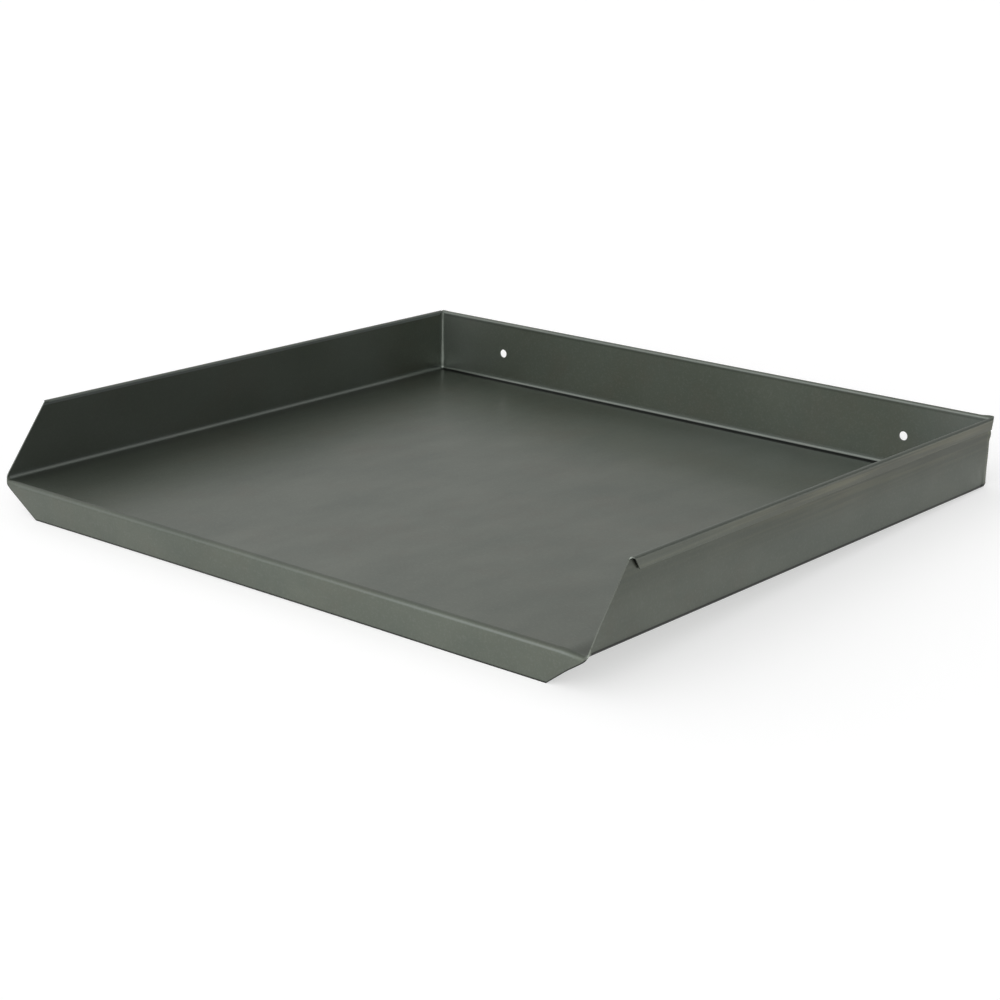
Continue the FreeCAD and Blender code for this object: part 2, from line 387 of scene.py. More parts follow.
def mesh_piece(name, node, *solids):
    """One mesh object of some closed solids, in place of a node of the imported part."""
    polygons = []
    total = 0
    for vertices, _, _, faces in solids:
        polygons += [[int(i) + total for i in face] for face in faces]
        total += len(vertices)
    mesh = bpy.data.meshes.new(name)
    mesh.from_pydata(np.concatenate([solid[0] for solid in solids]).tolist(), [], polygons)
    mesh.polygons.foreach_set("use_smooth", np.ones(len(polygons), bool))
    mesh.normals_split_custom_set_from_vertices(np.concatenate([solid[1] for solid in solids]).tolist())
    kinds = np.concatenate([solid[2] for solid in solids])
    for column, label in enumerate(MARKS):
        values = mesh.attributes.new(label, "FLOAT", "POINT")
        values.data.foreach_set("value", kinds[:, column].astype(np.float32))
    mesh.materials.append(STEEL)
    piece = bpy.data.objects.new(name, mesh)
    bpy.context.scene.collection.objects.link(piece)
    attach(piece, "root")
    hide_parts(node)


def net(u_values, v_values):
    """A rectangular net: its u and v at every point, and its faces."""
    uu, vv = np.meshgrid(u_values, v_values, indexing="ij")
    rows, columns = uu.shape
    number = np.arange(rows * columns).reshape(rows, columns)
    faces = np.stack([number[:-1, :-1], number[1:, :-1], number[1:, 1:], number[:-1, 1:]], -1)
    return uu.ravel(), vv.ravel(), faces.reshape(-1, 4).tolist()


# ---------------------------------------------------------------- materials
DULL, FAIR = (0.111, 0.123, 0.101, 1), (0.134, 0.146, 0.122, 1)
BLUISH = (0.090, 0.108, 0.096, 1)
STAINED = (0.125, 0.115, 0.094, 1)
SPARKLE = (0.20, 0.215, 0.195, 1)
BROWN_OIL, STRAW_OIL = (0.078, 0.079, 0.058, 1), (0.140, 0.136, 0.088, 1)
# painted highlight: the lighter colour laid on bends, crests and patches in place of light
PAINTED_HIGHLIGHT_TINT = (0.27, 0.29, 0.29, 1)
SHEARED = (0.25, 0.26, 0.25, 1)
# painted shade: the near-black laid in creases, recesses, under the bends and along outlines
PAINTED_SHADE_TINT = (0.012, 0.013, 0.012, 1)
OIL_TINT = (0.96, 1.0, 0.94, 1)


def new_material(name):
    """A new material, with its nodes and links."""
    material = bpy.data.materials.new(name)
    material.use_nodes = True
    return material, material.node_tree.nodes, material.node_tree.links


def noise(nodes, links, vector, scale, stretch=(1, 1, 1), detail=3.0, rough=0.5):
    """A noise texture over the part's own axes, in cycles per metre."""
    mapping = nodes.new("ShaderNodeMapping")
    mapping.inputs["Scale"].default_value = stretch
    links.new(vector, mapping.inputs["Vector"])
    texture = nodes.new("ShaderNodeTexNoise")
    texture.inputs["Scale"].default_value = scale
    texture.inputs["Detail"].default_value = detail
    texture.inputs["Roughness"].default_value = rough
    links.new(mapping.outputs["Vector"], texture.inputs["Vector"])
    return texture.outputs["Fac"]


def ranged(nodes, links, value, low, high, from_low=0.3, from_high=0.7):
    """A value stretched from one range to another."""
    node = nodes.new("ShaderNodeMapRange")
    node.inputs["From Min"].default_value = from_low
    node.inputs["From Max"].default_value = from_high
    node.inputs["To Min"].default_value = low
    node.inputs["To Max"].default_value = high
    links.new(value, node.inputs["Value"])
    return node.outputs["Result"]


def mixed(nodes, links, factor, first, second):
    """A colour between two, each a colour or a socket."""
    node = nodes.new("ShaderNodeMix")
    node.data_type = "RGBA"
    for socket, value in ((node.inputs[0], factor), (node.inputs[6], first), (node.inputs[7], second)):
        if isinstance(value, (tuple, float)):
            socket.default_value = value
        else:
            links.new(value, socket)
    return node.outputs[2]


def calculated(nodes, links, operation, first, second):
    """The result of a calculation on two values, each a number or a socket."""
    node = nodes.new("ShaderNodeMath")
    node.operation = operation
    for socket, value in zip(node.inputs, (first, second)):
        if isinstance(value, float):
            socket.default_value = value
        else:
            links.new(value, socket)
    return node.outputs[0]


def attribute(nodes, label):
    """One of the values that a mesh holds at each point."""
    node = nodes.new("ShaderNodeAttribute")
    node.attribute_name = label
    return node.outputs["Fac"]


def tinted(nodes, links, colour, amount, share, tint):
    """The colour, moved this share of the way to the tint where the amount is 1."""
    return mixed(nodes, links, calculated(nodes, links, "MULTIPLY", amount, share), colour, tint)


def steel_material():
    """Bare cold-rolled steel under thin oil: dark, a little green, satin mill finish, with painted light and
    shade.
    """
    material, nodes, links = new_material("satin_sheet_steel")
    shader = nodes["Principled BSDF"]
    place = nodes.new("ShaderNodeTexCoord").outputs["Object"]
    cloud = noise(nodes, links, place, 9.0, detail=4.0)
    patch = noise(nodes, links, place, 34.0, (1.0, 0.45, 1.0), detail=4.0)
    grain = noise(nodes, links, place, 700.0, detail=2.0)
    rolled = noise(nodes, links, place, 90.0, (1.0, 0.06, 2.0), detail=4.0)
    streak = noise(nodes, links, place, 420.0, (1.0, 0.02, 1.0), detail=1.0)
    stain = noise(nodes, links, place, 21.0, detail=5.0, rough=0.65)
    painted_highlight, oil, shade, rim = (attribute(nodes, label) for label in MARKS)

    colour = mixed(nodes, links, ranged(nodes, links, cloud, 0.0, 1.0), DULL, FAIR)
    film_and_shade = mixed(nodes, links, ranged(nodes, links, streak, 0.0, 1.0, 0.42, 0.62), BROWN_OIL, STRAW_OIL)
    layers = (
        (ranged(nodes, links, patch, 0.0, 1.0), 0.34, BLUISH),
        (ranged(nodes, links, stain, 0.0, 1.0, 0.5, 0.7), 0.35, STAINED),
        (ranged(nodes, links, grain, 0.0, 1.0, 0.5, 0.8), 0.28, SPARKLE),
        (oil, 0.80, film_and_shade),
        # painted highlight, where the marks ask for it
        (painted_highlight, 0.45, PAINTED_HIGHLIGHT_TINT),
        (rim, 0.25, SHEARED),
        # painted shade, where the marks ask for it
        (shade, 0.90, PAINTED_SHADE_TINT),
    )
    for amount, share, tint in layers:
        colour = tinted(nodes, links, colour, amount, share, tint)
    links.new(colour, shader.inputs["Base Color"])
    shader.inputs["Metallic"].default_value = 1.0

    links.new(ranged(nodes, links, patch, 0.45, 0.53), shader.inputs["Roughness"])
    # under the painted shade the coat's reflection is taken away too
    links.new(ranged(nodes, links, shade, 0.5, 0.0, 0.0, 1.0), shader.inputs["Coat Weight"])
    shader.inputs["Coat Tint"].default_value = OIL_TINT
    shader.inputs["Coat Roughness"].default_value = 0.25

    bump = nodes.new("ShaderNodeBump")
    bump.inputs["Strength"].default_value = 0.25
    bump.inputs["Distance"].default_value = 0.03 * MM
    links.new(calculated(nodes, links, "ADD", grain, rolled), bump.inputs["Height"])
    links.new(bump.outputs["Normal"], shader.inputs["Normal"])
    return material


STEEL = steel_material()


# ---------------------------------------------------------------- painted highlights, oil and painted shade
def under_shade(z):
    """Painted shade: a dark line round the underside of the floor's bends."""
    return 1 - fade(z, FLOOR_TOP + 0.75 * BEND, FLOOR_TOP + 1.15 * BEND)


def crest(across, above, strength, reach):
    """A painted highlight along the inner part of a hem's roll and the top of its wall.

    across and above are measured from the wall's inner face and from the foot of the roll.
    """
    return strength * (1 - fade(across, 0.3 * MM, 1.0 * MM)) * fade(above, -reach - 0.3 * MM, -reach)


def oiliness(y):
    """How oily the outside is, from almost clean at the front to a full film from the middle to the back."""
    return 0.35 + 0.65 * fade(y, -0.16, 0.02)


def flat_marks(points, side):
    """Clean mill finish, but for painted shade along the floor's bends and painted light near the right
    rear.
    """
    x, y, _ = points.T
    plain = np.zeros(len(points))
    if side != 1:
        return plain, plain, plain
    # painted shade: a dark band on the floor by the back bend, and a softer one by the side bends
    at_back = fade(y, FLAT_BACK - 4.5 * MM, FLAT_BACK - 2.0 * MM)
    at_side = 0.35 * fade(np.abs(x), FLAT_X - 16 * MM, FLAT_X - 2 * MM)
    # painted light: a lighter patch near the right rear of the floor
    painted_light = fade(x, -0.10, 0.08) * fade(y, FLAT_BACK - 100 * MM, FLAT_BACK - 20 * MM)
    return painted_light, plain, np.maximum(at_back, at_side)


def wall_inside_marks(across, y, z):
    """Painted highlights on the bend and the walls' tops, painted light mid-wall, painted shade at the back.
    """
    at_back = fade(y, FLAT_BACK - MM, FLAT_BACK)
    # painted light over the walls' middles and toward the back
    along = 0.45 * (1 - fade(y, 0.13, 0.19)) + 0.25 * np.exp(-((y - INNER_BACK + 0.10) / 0.05) ** 2)
    painted_wall_light = at_back * 0.8 * np.exp(-(across / 0.05) ** 2) + (1 - at_back) * along
    # painted highlights along the floor's bend and the walls' tops
    painted_highlight = np.maximum(0.8 * (1 - fade(z, FLOOR_TOP + BEND, FLOOR_TOP + 1.6 * BEND)), painted_wall_light)
    painted_highlight = np.maximum(painted_highlight, at_back * crest(0 * z, z - BACK_ROOT, 1.1, 0))
    painted_highlight = np.maximum(painted_highlight, (1 - at_back) * crest(0 * z, z - SIDE_ROOT, 2.0, 1.2 * MM))
    # painted shade: a dark line low in the rear bend, a fainter one under the rear hem, a faint darkening of
    # the back wall
    bend = 1 - fade(z, FLOOR_MID + 0.5 * MM, FLOOR_MID + 1.2 * MM)
    under_crest = fade(z, BACK_ROOT - 2.2 * MM, BACK_ROOT - 1.2 * MM)
    under_crest = under_crest * (1 - fade(z, BACK_ROOT - 0.8 * MM, BACK_ROOT))
    return painted_highlight, np.zeros(len(z)), at_back * np.maximum(bend, np.maximum(0.35 * under_crest, 0.05))


def wall_outside_marks(across, y, z):
    """Oil, stronger upward and to the rear; painted shade beneath the bend, behind the hem and all over."""
    # painted shade on the wall behind the hem's flange
    behind_hem = fade(y, hem_front(z), hem_front(z) + 1.5 * MM)
    behind_hem = behind_hem * fade(z, HEM_LOW + 0.5 * MM, HEM_LOW + 2.5 * MM)
    # painted shade beneath the bend, and over the whole outside, darker upward and to the rear
    shade = np.maximum(under_shade(z), behind_hem)
    shade = np.maximum(shade, 0.20 + 0.12 * fade(z, FLOOR_TOP, HEM_LOW) + 0.06 * fade(y, 0, 0.2))
    oil = 0.7 * oiliness(y) * fade(z, HEM_LOW - 24 * MM, HEM_LOW) * fade(across, -BEND, 0)
    return np.zeros(len(z)), oil, shade


def wall_marks(points, side):
    """A wall: its inside is on the normal's side, and its outside takes in the rim."""
    x, y, z = points.T
    across = np.abs(x) - HALF_WIDTH
    return wall_inside_marks(across, y, z) if side == 1 else wall_outside_marks(across, y, z)


def hem_marks(points, side):
    """A side hem: painted highlight on its crest, oil and painted shade on the flange, painted black inside.
    """
    x, y, z = points.T
    plain = np.zeros(len(points))
    # painted shade: black inside the roll
    if side == -1:
        return plain, plain, plain + 1
    across = np.abs(x) - HALF_WIDTH
    outer = fade(across, 0.8 * MM, 1.8 * MM)
    flange = outer * (1 - fade(z, WALL_TOP - 2.2 * MM, WALL_TOP - 0.8 * MM))
    # painted shade over the flange, darker to the rear and on its upper part
    shade = (0.12 + 0.14 * fade(y, 0, 0.2) + 0.12 * fade(z, HEM_LOW + 3 * MM, HEM_LOW + 5 * MM)) * flange
    # painted highlight along the crest, and fainter over the roll
    painted_light = crest(across, z - SIDE_ROOT, 2.0, 0) * fade(y, side_hem_low.y + 1 * MM, side_hem_low.y + 8 * MM)
    return np.maximum(painted_light, 0.35 * (1 - flange)), flange * oiliness(y), shade


def back_hem_marks(points, side):
    """The rear hem: a painted highlight along its crest, and painted black shade inside the roll."""
    _, y, z = points.T
    plain = np.zeros(len(points))
    # painted shade: black inside the roll
    if side == -1:
        return plain, plain, plain + 1
    # painted highlight along the crest
    return crest(y - INNER_BACK, z - BACK_ROOT, 1.1, 0), plain, plain


def lip_marks(points, side):
    """Painted highlight low on its bend; painted shade above it, to the left, and at its lower edge and
    ends.
    """
    x, _, z = points.T
    # painted highlight low on the front bend, weaker to the left and gone at the ends
    bend_highlight = 1 - fade(np.abs(z - FLOOR_TOP + 2.3 * MM), 0.1 * MM, 0.9 * MM)
    bend_highlight = bend_highlight * (1 - fade(np.abs(x), FLAT_X - 12 * MM, FLAT_X - 2 * MM))
    bend_highlight = bend_highlight * (0.42 + 0.45 * fade(x, 0, 0.2))
    # painted shade just above the highlight, and over the left part of the lip
    above = 0.16 * (1 - fade(np.abs(z - FLOOR_TOP + 0.8 * MM), 0.4 * MM, 1.0 * MM)) * (side == 1)
    film_and_shade = 0.10 * (1 - fade(x, -0.25, 0.15))
    # painted shade along the lower edge and the ends
    edge = np.minimum(z - lip_low.z, lip_half_width_at(z) - np.abs(x))
    return bend_highlight, np.zeros(len(points)), np.maximum(above + film_and_shade, 1 - fade(edge, 0.6 * MM, 1.4 * MM))


def upright_marks(points, side):
    """A painted highlight on the inside, and painted shade on the outside."""
    plain = np.zeros(len(points))
    # painted highlight on the inside, painted shade on the outside
    if side == 1:
        return plain + 0.5, plain, plain
    return plain, plain, np.maximum(under_shade(points[:, 2]), 0.6)


def ear_marks(points, side):
    """Oily all over, with painted shade beneath."""
    plain = np.zeros(len(points))
    # painted shade beneath
    return plain, plain + 0.5, under_shade(points[:, 2])


# ---------------------------------------------------------------- the panels
FINE = 0.22 * MM                                    # spacing round a bend
COARSE = 9 * MM                                     # spacing over a flat


def all_joint(points):
    """For a panel that meets its neighbours all round."""
    return np.ones(len(points), bool)


def side_profile():
    """Across a side wall: floor bend, wall, roll of the hem and flange, to the right."""
    roll_end = WALL_TOP - SHEET - SIDE_ROLL - (SIDE_ROLL + HALF) * math.sin(SIDE_CLOSING)
    flange = (roll_end - HEM_LOW) / math.cos(SIDE_CLOSING)
    return Profile((FLAT_X, FLOOR_MID), 0.0, [
        ("bend", BEND, math.pi / 2),
        ("flat", SIDE_ROOT - FLOOR_TOP - BEND),
        ("bend", SIDE_ROLL, -math.pi - SIDE_CLOSING),
        ("flat", flange),
    ])


SIDE = side_profile()
SIDE_BEND_END, SIDE_WALL_END, SIDE_ROLL_END, SIDE_END = SIDE.ends


def cut_y(s):
    """Where the blank's straight front cut crosses a side strip, at this distance from the floor's bend."""
    return LIP_FACE + CUT_SLOPE * (s - SIDE_BEND_END + BEND)


def hem_front(z):
    """Where the same cut crosses a side hem's flange, by height."""
    return cut_y(SIDE_ROLL_END + (WALL_TOP - SHEET - SIDE_ROLL - z) / math.cos(SIDE_CLOSING))


def side_surface(s, t):
    """A side strip: s runs across it and t from its front cut, at 0, to its rear end, at 1 metre."""
    section = SIDE.at(s)
    front = np.maximum(cut_y(s), FLAT_FRONT)
    return np.stack([section[:, 0], front + t * (INNER_BACK - front), section[:, 1]], 1)


def side_wall(mirror):
    """A side wall with its floor bend, as far back as the corner upright."""
    s_values = chain(
        steps(0, SIDE_BEND_END, FINE),
        steps(SIDE_BEND_END, SIDE_WALL_END - 2 * MM, 2 * MM),
        steps(SIDE_WALL_END - 2 * MM, SIDE_WALL_END, 0.5 * MM),
    )

    def surface(s, t):
        points = side_surface(s, np.zeros(len(s)))
        points[:, 1] += t * (FLAT_BACK - points[:, 1])
        return points

    def joint(points):
        x, y, z = points.T
        at_rear = y > FLAT_BACK - 0.05 * MM
        at_top = z > SIDE_ROOT - 0.05 * MM
        at_floor = x < FLAT_X + 0.05 * MM
        at_lip = y < FLAT_FRONT + 0.05 * MM
        return at_rear | at_top | at_floor | at_lip

    near_corner = 1 - steps(0, 0.02, 0.0008)
    t_values = chain(steps(0, 0.03, 0.004), steps(0.03, 0.94, 0.02), steps(0.94, 0.98, 0.004), near_corner)
    u, v, faces = net(s_values, t_values)
    return sheet_solid(surface, u, v, faces, joint, wall_marks, mirror)


def side_hem(mirror):
    """A side hem, from the slanted cut to the back wall's inner face."""
    s_values = chain(
        steps(SIDE_WALL_END, SIDE_ROLL_END, FINE),
        steps(SIDE_ROLL_END, SIDE_END, 1.0 * MM),
    )

    def joint(points):
        return np.abs(points[:, 0] - HALF_WIDTH - HALF) < 0.02 * MM

    t_values = chain(steps(0, 0.03, 0.004), steps(0.03, 0.98, 0.02), 1 - steps(0, 0.02, 0.002))
    u, v, faces = net(s_values, t_values)
    return sheet_solid(side_surface, u, v, faces, joint, hem_marks, mirror)


def floor_panel():
    """The flat floor between the bends."""
    def surface(x, y):
        return np.stack([x, y, np.full(len(x), FLOOR_MID)], 1)

    middle = FLAT_X - 15.5 * MM
    near_side = steps(middle, FLAT_X, 2 * MM)
    x_values = chain(-near_side, steps(-middle, middle, COARSE), near_side)
    y_values = chain(steps(FLAT_FRONT, FLAT_BACK - 6 * MM, COARSE), FLAT_BACK - steps(0, 6 * MM, 0.3 * MM))
    u, v, faces = net(x_values, y_values)
    return sheet_solid(surface, u, v, faces, all_joint, flat_marks)


def lip_profile():
    """Down over the front bend and the lip, from the floor, as distance and height."""
    drop = BEND_MID * (1 + math.sin(LIP_OVERBEND))
    flange = (FLOOR_MID - drop - lip_low.z - HALF * math.sin(LIP_OVERBEND)) / math.cos(LIP_OVERBEND)
    return Profile((FLAT_FRONT, FLOOR_MID), math.pi, [
        ("bend", BEND, math.pi / 2 + LIP_OVERBEND),
        ("flat", flange),
    ])


LIP = lip_profile()


def lip_half_width(q):
    """Half the blank's width across the lip, on its straight front cuts."""
    return FLAT_X + SIDE_BEND_END - BEND + (FLAT_FRONT - q - LIP_FACE) / CUT_SLOPE


def lip_half_width_at(z):
    """The same by height, for points down the flat of the lip."""
    bend_end = FLOOR_MID - BEND_MID * (1 + math.sin(LIP_OVERBEND))
    return lip_half_width(LIP.ends[0] + (bend_end - z) / math.cos(LIP_OVERBEND))


def lip_surface(q, t):
    """The lip: q runs down over it from the floor, and t across it from -1 to 1.

    Its ends take both bends, the lip's and the side walls'.
    """
    across = t * lip_half_width(q)
    beyond = np.clip(np.abs(across) - FLAT_X, 0, None)
    side = SIDE.at(beyond)
    section = LIP.at(q)
    x = np.where(beyond > 0, np.sign(across) * side[:, 0], across)
    rise = np.where(beyond > 0, side[:, 1] - FLOOR_MID, 0)
    return np.stack([x, section[:, 0], section[:, 1] + rise], 1)


def front_lip():
    """The front bend and the lip below it, with fine rows at the lip's lower edge and its ends."""
    edge = LIP.length - steps(0, 3 * MM, 0.5 * MM)
    q_values = chain(steps(0, LIP.ends[0], FINE), steps(LIP.ends[0], LIP.length - 3 * MM, 3 * MM), edge)
    width = lip_half_width(0.0)
    near = 9 * MM / width
    near_end = steps(1 - near, 1, FINE / width)
    t_values = chain(-near_end, steps(-1 + near, 1 - near, COARSE / width), near_end)

    def joint(points):
        return points[:, 1] > FLAT_FRONT - 0.02 * MM

    u, v, faces = net(q_values, t_values)
    return sheet_solid(lip_surface, u, v, faces, joint, lip_marks)


BACK = Profile((FLAT_BACK, FLOOR_MID), 0.0, [
    ("bend", BEND, math.pi / 2),
    ("flat", BACK_ROOT - FLOOR_TOP - BEND),
    ("bend", BACK_ROLL, -math.pi),
    ("flat", BACK_ROOT - HEM_LOW),
])
BACK_BEND_END, BACK_WALL_END, BACK_ROLL_END, BACK_END = BACK.ends
ROLL_CENTRE = np.array([INNER_BACK + SHEET + BACK_ROLL, BACK_ROOT])
HEM_END_PROUD = 0.6 * MM
FLANGE_TAPER = 0.6 * MM
FLANGE_CLIP = 1.6 * MM


def back_surface(x, s):
    """A back strip. The hem's roll is squared where it is cut at its ends, and its flange tapers in there.

    The right-hand end stands a little proud of the rest.
    """
    section = BACK.at(s)
    roll = section - ROLL_CENTRE
    outer = (roll[:, 0] > 0) & (roll[:, 1] > 0)
    square = np.hypot(roll[:, 0], roll[:, 1]) / np.maximum(np.abs(roll).max(1), 1e-9) - 1
    from_end = BACK_HEM_END - np.abs(x)
    pressed = np.where(outer, square * 0.8 * (1 - fade(from_end, MM, 9 * MM)), 0)
    section = section + pressed[:, None] * roll
    at_right = 1 - fade(BACK_HEM_END - x, 3 * MM, 10 * MM)
    proud = HEM_END_PROUD * at_right * fade(roll[:, 0], -1.0 * MM, 1.0 * MM)
    down = np.clip((s - BACK_ROLL_END) / (BACK_END - BACK_ROLL_END), 0, 1)
    taper = FLANGE_TAPER * down * (1 - fade(from_end, 0, 16 * MM))
    clipped = FLANGE_CLIP * down * (1 - fade(from_end, 0.5 * MM, 5 * MM))
    return np.stack([x - np.sign(x) * taper, section[:, 0], section[:, 1] + proud + clipped], 1)


def hole_rings(side_x, side_s, centre):
    """Rings from a square block of the net, given by its sides, in to a round hole."""
    square = np.array(
        [(x, side_s[0]) for x in side_x[:-1]]
        + [(side_x[-1], s) for s in side_s[:-1]]
        + [(x, side_s[-1]) for x in side_x[:0:-1]]
        + [(side_x[0], s) for s in side_s[:0:-1]]
    )
    angle = np.arctan2(square[:, 1] - centre[1], square[:, 0] - centre[0])
    circle = np.array(centre) + HOLE_RADIUS * np.stack([np.cos(angle), np.sin(angle)], 1)
    shares = 1 - (1 - np.linspace(0, 1, 7)) ** 1.5
    return [square + share * (circle - square) for share in shares]


def holed_net(x_values, s_values, holes, half):
    """A net over the back wall with a square block left out round each hole and filled by rings."""
    u, v, faces = net(x_values, s_values)
    kept = []
    for face in faces:
        middle_x = np.mean([u[i] for i in face])
        middle_s = np.mean([v[i] for i in face])
        if not any(abs(middle_x - hx) < half and abs(middle_s - hs) < half for hx, hs in holes):
            kept.append(face)
    us, vs, out = [u], [v], kept
    count = len(u)
    for hx, hs in holes:
        side_x = x_values[np.abs(x_values - hx) < half + 0.01 * MM]
        side_s = s_values[np.abs(s_values - hs) < half + 0.01 * MM]
        rings = hole_rings(side_x, side_s, (hx, hs))
        n = len(rings[0])
        for ring in rings:
            us.append(ring[:, 0])
            vs.append(ring[:, 1])
        for k in range(len(rings) - 1):
            for i in range(n):
                j = (i + 1) % n
                a = count + k * n
                out.append([a + i, a + j, a + n + j, a + n + i])
        count += n * len(rings)
    return np.concatenate(us), np.concatenate(vs), out


def back_wall():
    """The back wall with its floor bend and both holes."""
    hole_s = BACK_BEND_END + HOLE_Z - FLOOR_TOP - BEND
    half = HOLE_BLOCK
    block = steps(-half, half, 0.75 * MM)
    s_values = chain(
        steps(0, BACK_BEND_END, FINE),
        steps(BACK_BEND_END, hole_s - half, 2 * MM),
        hole_s + block,
        steps(hole_s + half, BACK_WALL_END - 3 * MM, 2 * MM),
        steps(BACK_WALL_END - 3 * MM, BACK_WALL_END, 0.5 * MM),
    )
    near_corner = chain(FLAT_X - steps(0, 5 * MM, 0.4 * MM), FLAT_X - steps(5 * MM, 28 * MM, 1.5 * MM))
    x_values = chain(
        -near_corner,
        steps(-FLAT_X + 28 * MM, -HOLE_X - half, COARSE),
        -HOLE_X + block,
        steps(-HOLE_X + half, HOLE_X - half, COARSE),
        HOLE_X + block,
        steps(HOLE_X + half, FLAT_X - 28 * MM, COARSE),
        near_corner,
    )
    holes = [(-HOLE_X, hole_s), (HOLE_X, hole_s)]
    u, v, faces = holed_net(x_values, s_values, holes, half)

    def joint(points):
        away = np.hypot(np.abs(points[:, 0]) - HOLE_X, points[:, 2] - HOLE_Z)
        return away > HOLE_RADIUS + 1 * MM

    return sheet_solid(back_surface, u, v, faces, joint, wall_marks)


def back_hem():
    """The rear hem, with fine columns at its pressed ends."""
    s_values = chain(
        steps(BACK_WALL_END, BACK_ROLL_END, FINE),
        steps(BACK_ROLL_END, BACK_END, 1.0 * MM),
    )
    near_end = BACK_HEM_END - chain(steps(0, 6 * MM, 0.5 * MM), steps(6 * MM, 18 * MM, 1 * MM))
    x_values = chain(-near_end, steps(-near_end.min(), near_end.min(), COARSE), near_end)

    def joint(points):
        return np.abs(points[:, 1] - INNER_BACK - HALF) < 0.02 * MM

    u, v, faces = net(x_values, s_values)
    return sheet_solid(back_surface, u, v, faces, joint, back_hem_marks)


def corner_upright(mirror):
    """Joins a side wall to the back wall: a ball at the foot of the bend, and a round upright above it."""
    def surface(share, turn):
        top = SIDE_WALL_END + (BACK_WALL_END - SIDE_WALL_END) * turn / (math.pi / 2)
        section = SIDE.at(share * top)
        reach = section[:, 0] - FLAT_X
        return np.stack([
            FLAT_X + reach * np.cos(turn),
            FLAT_BACK + reach * np.sin(turn),
            section[:, 1],
        ], 1)

    bend_share = SIDE_BEND_END / SIDE_WALL_END
    shares = chain(steps(0, bend_share, 0.005), steps(bend_share, 1, 0.03))
    u, v, faces = net(shares, steps(0, math.pi / 2, math.pi / 28))
    return sheet_solid(surface, u, v, faces, all_joint, upright_marks, mirror)


STAGES = (0, 0.08, 0.28, 0.6, 0.75, 1)              # a corner fold's way: rise, round, run, fold and back


def corner_ear(mirror):
    """The blank's uncut corner, folded double on its diagonal and laid on the back of the back wall."""
    half_fold = HALF * math.sqrt(2)

    def surface(w, s):
        section = SIDE.at(s)
        reach, z = section[:, 0] - FLAT_X, section[:, 1]
        stages = (np.clip((w - low) / (high - low), 0, 1) for low, high in zip(STAGES, STAGES[1:]))
        rise, round_, run, fold, back = stages
        fold_x = np.minimum(OUTSIDE - (z - FLOOR_TOP) + 2 * half_fold, FLAT_X - 0.3 * MM)
        x = FLAT_X + reach * np.cos(round_ * math.pi / 2) - (run - back) * (FLAT_X - fold_x)
        x = x - half_fold * np.sin(fold * math.pi)
        y = FLAT_BACK + rise * 2 * SHEET + reach * np.sin(round_ * math.pi / 2)
        y = y - HALF * (1 - np.cos(fold * math.pi))
        bulge = np.exp(-((z - FLOOR_TOP - 37 * MM) / (3 * MM)) ** 2) * fade(x, FLAT_X - 14 * MM, FLAT_X)
        bulge = bulge * fade(y, FLAT_BACK, INNER_BACK + SHEET)
        return np.stack([x + 0.8 * MM * bulge, y + 0.9 * MM * bulge, z], 1)

    def joint(points):
        return points[:, 1] < FLAT_BACK + 0.05 * MM

    spacings = (0.04, 0.02, 0.04, 0.0125, 0.05)
    w_values = chain(*(steps(low, high, gap) for low, high, gap in zip(STAGES, STAGES[1:], spacings)))
    top = SIDE_WALL_END - (SIDE_ROOT - BACK_ROOT)
    s_values = chain(steps(0.1 * MM, SIDE_BEND_END, 2 * FINE), steps(SIDE_BEND_END, top, 1 * MM))
    u, v, faces = net(w_values, s_values)
    return sheet_solid(surface, u, v, faces, joint, ear_marks, mirror)


# ---------------------------------------------------------------- make every piece
mesh_piece("floor_sheet", "floor_panel", floor_panel())
mesh_piece("lip_sheet", "front_lip", front_lip())
mesh_piece("back_wall_sheet", "back_wall", back_wall())
mesh_piece("back_hem_sheet", "back_wall_hem", back_hem())
for hand, mirror in (("right", False), ("left", True)):
    mesh_piece(hand + "_wall_sheet", hand + "_wall", side_wall(mirror))
    mesh_piece(hand + "_hem_sheet", hand + "_wall_hem", side_hem(mirror))
    mesh_piece(hand + "_fold_sheet", hand + "_rear_corner_fold", corner_upright(mirror), corner_ear(mirror))


# ---------------------------------------------------------------- stage, light and camera
STAGE_HALF = 4.0                                    # half the stage floor's width, in metres
CAMERA_YAW, CAMERA_PITCH, CAMERA_ROLL = math.radians(39.61), math.radians(16.87), math.radians(0.98)
CAMERA_PLACE = (0.9508, -1.1495, 0.4637)
CAMERA_LENS, CAMERA_SENSOR = 80.13, 36.0


def stage_floor():
    """A pale lit floor under the lip's lower edge and the rear bottom edge. Seen from below it is clear."""
    front = Vector((0, lip_low.y + 3.5 * MM, lip_low.z))
    rear = Vector((0, back_high.y - 0.9 * MM, floor_low.z - FOOT_DROP))
    slope = math.atan2(rear.z - front.z, rear.y - front.y)
    material, nodes, links = new_material("pale_floor")
    shader = nodes["Principled BSDF"]
    shader.inputs["Base Color"].default_value = (0.55, 0.55, 0.55, 1)
    shader.inputs["Roughness"].default_value = 0.9
    shader.inputs["Emission Color"].default_value = (1, 1, 1, 1)
    shader.inputs["Emission Strength"].default_value = 0.51
    either = nodes.new("ShaderNodeMixShader")
    links.new(nodes.new("ShaderNodeNewGeometry").outputs["Backfacing"], either.inputs[0])
    links.new(shader.outputs["BSDF"], either.inputs[1])
    links.new(nodes.new("ShaderNodeBsdfTransparent").outputs["BSDF"], either.inputs[2])
    links.new(either.outputs["Shader"], nodes["Material Output"].inputs["Surface"])
    corners = [(x * STAGE_HALF, y * STAGE_HALF, 0) for x, y in ((-1, -1), (1, -1), (1, 1), (-1, 1))]
    mesh = bpy.data.meshes.new("stage_floor")
    mesh.from_pydata(corners, [], [(0, 1, 2, 3)])
    mesh.materials.append(material)
    floor = bpy.data.objects.new("stage_floor", mesh)
    floor.matrix_world = Matrix.Translation(front) @ Matrix.Rotation(slope, 4, "X")
    bpy.context.scene.collection.objects.link(floor)


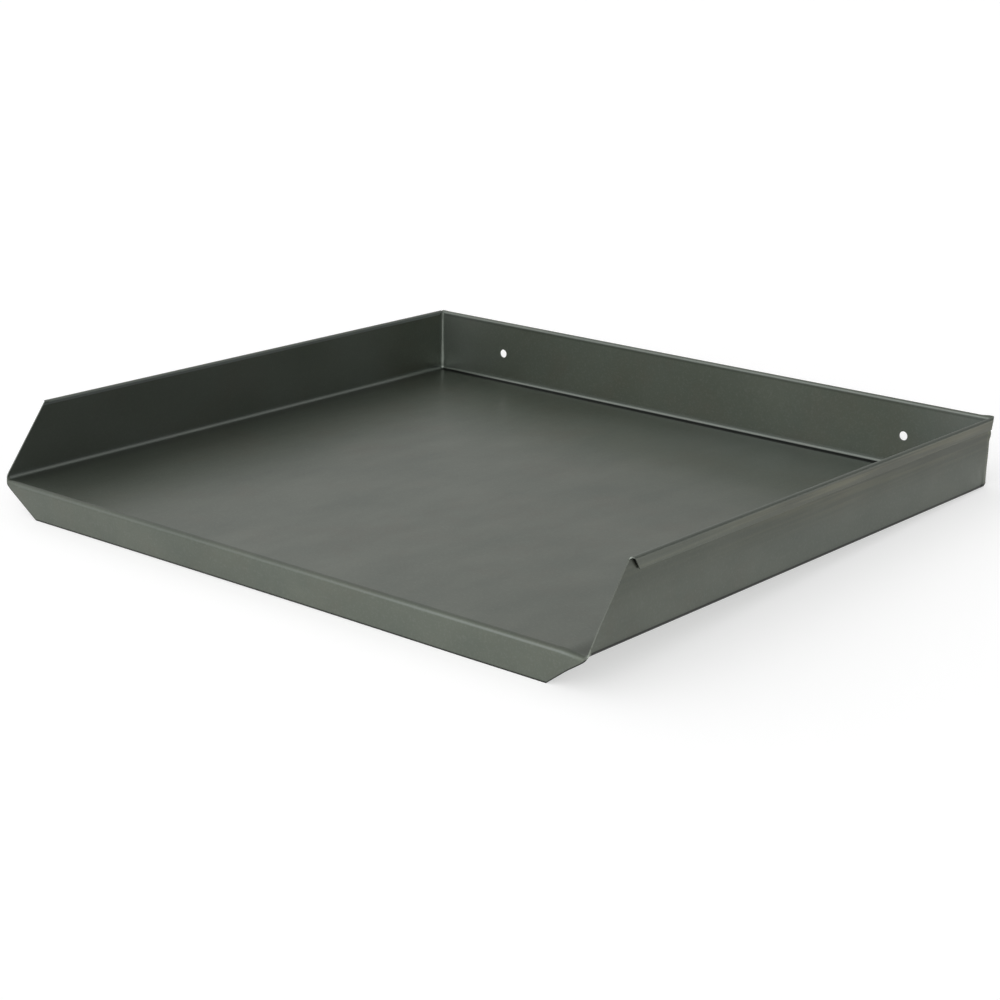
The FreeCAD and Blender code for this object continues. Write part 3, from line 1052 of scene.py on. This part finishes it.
def camera():
    """Looks down into the pan from in front of its right-hand corner."""
    yaw, pitch, roll = CAMERA_YAW, CAMERA_PITCH, CAMERA_ROLL
    forward = Vector((-math.sin(yaw) * math.cos(pitch), math.cos(yaw) * math.cos(pitch), -math.sin(pitch)))
    level = Vector((math.cos(yaw), math.sin(yaw), 0))
    upward = level.cross(forward)
    right = level * math.cos(roll) + upward * math.sin(roll)
    top = upward * math.cos(roll) - level * math.sin(roll)
    data = bpy.data.cameras.new("camera")
    data.sensor_width = CAMERA_SENSOR
    data.lens = CAMERA_LENS
    eye = bpy.data.objects.new("camera", data)
    turned = Matrix((right, top, -forward)).transposed().to_4x4()
    turned.translation = Vector(CAMERA_PLACE)
    eye.matrix_world = turned
    bpy.context.scene.collection.objects.link(eye)
    bpy.context.scene.camera = eye


LAMPS = [                                           # azimuth from +Y to +X and height in degrees, strength
    (25, 48, 0.66),
    (55, 14, 0.12),
    (135, 12, 3.2),
    (180, 12, 2.14),
    (270, 12, 0.99),
    (315, 12, 0.2),
    (180, 40, 0.32),
    (225, 40, 0.98),
    (270, 40, 0.21),
    (315, 40, 0.57),
]
LAMP_SHARPNESS = 7.4                                # each lamp falls to half its strength 25 degrees off


def lights():
    """Broad soft lamps all round, painted on the sky, the brightest of them in front of the pan."""
    world = bpy.data.worlds.new("studio")
    bpy.context.scene.world = world
    world.use_nodes = True
    nodes, links = world.node_tree.nodes, world.node_tree.links
    direction = nodes.new("ShaderNodeTexCoord").outputs["Generated"]
    total = 0.0
    for azimuth, height, strength in LAMPS:
        a, h = math.radians(azimuth), math.radians(height)
        facing = nodes.new("ShaderNodeVectorMath")
        facing.operation = "DOT_PRODUCT"
        facing.inputs[1].default_value = (math.sin(a) * math.cos(h), math.cos(a) * math.cos(h), math.sin(h))
        links.new(direction, facing.inputs[0])
        off = calculated(nodes, links, "SUBTRACT", facing.outputs["Value"], 1.0)
        sharpened = calculated(nodes, links, "MULTIPLY", off, LAMP_SHARPNESS)
        glow = calculated(nodes, links, "EXPONENT", sharpened, 0.0)
        total = calculated(nodes, links, "ADD", calculated(nodes, links, "MULTIPLY", glow, strength), total)
    background = nodes["Background"]
    background.inputs["Color"].default_value = (1, 1, 1, 1)
    links.new(total, background.inputs["Strength"])


stage_floor()
camera()
lights()
bpy.context.scene.view_settings.view_transform = "Standard"
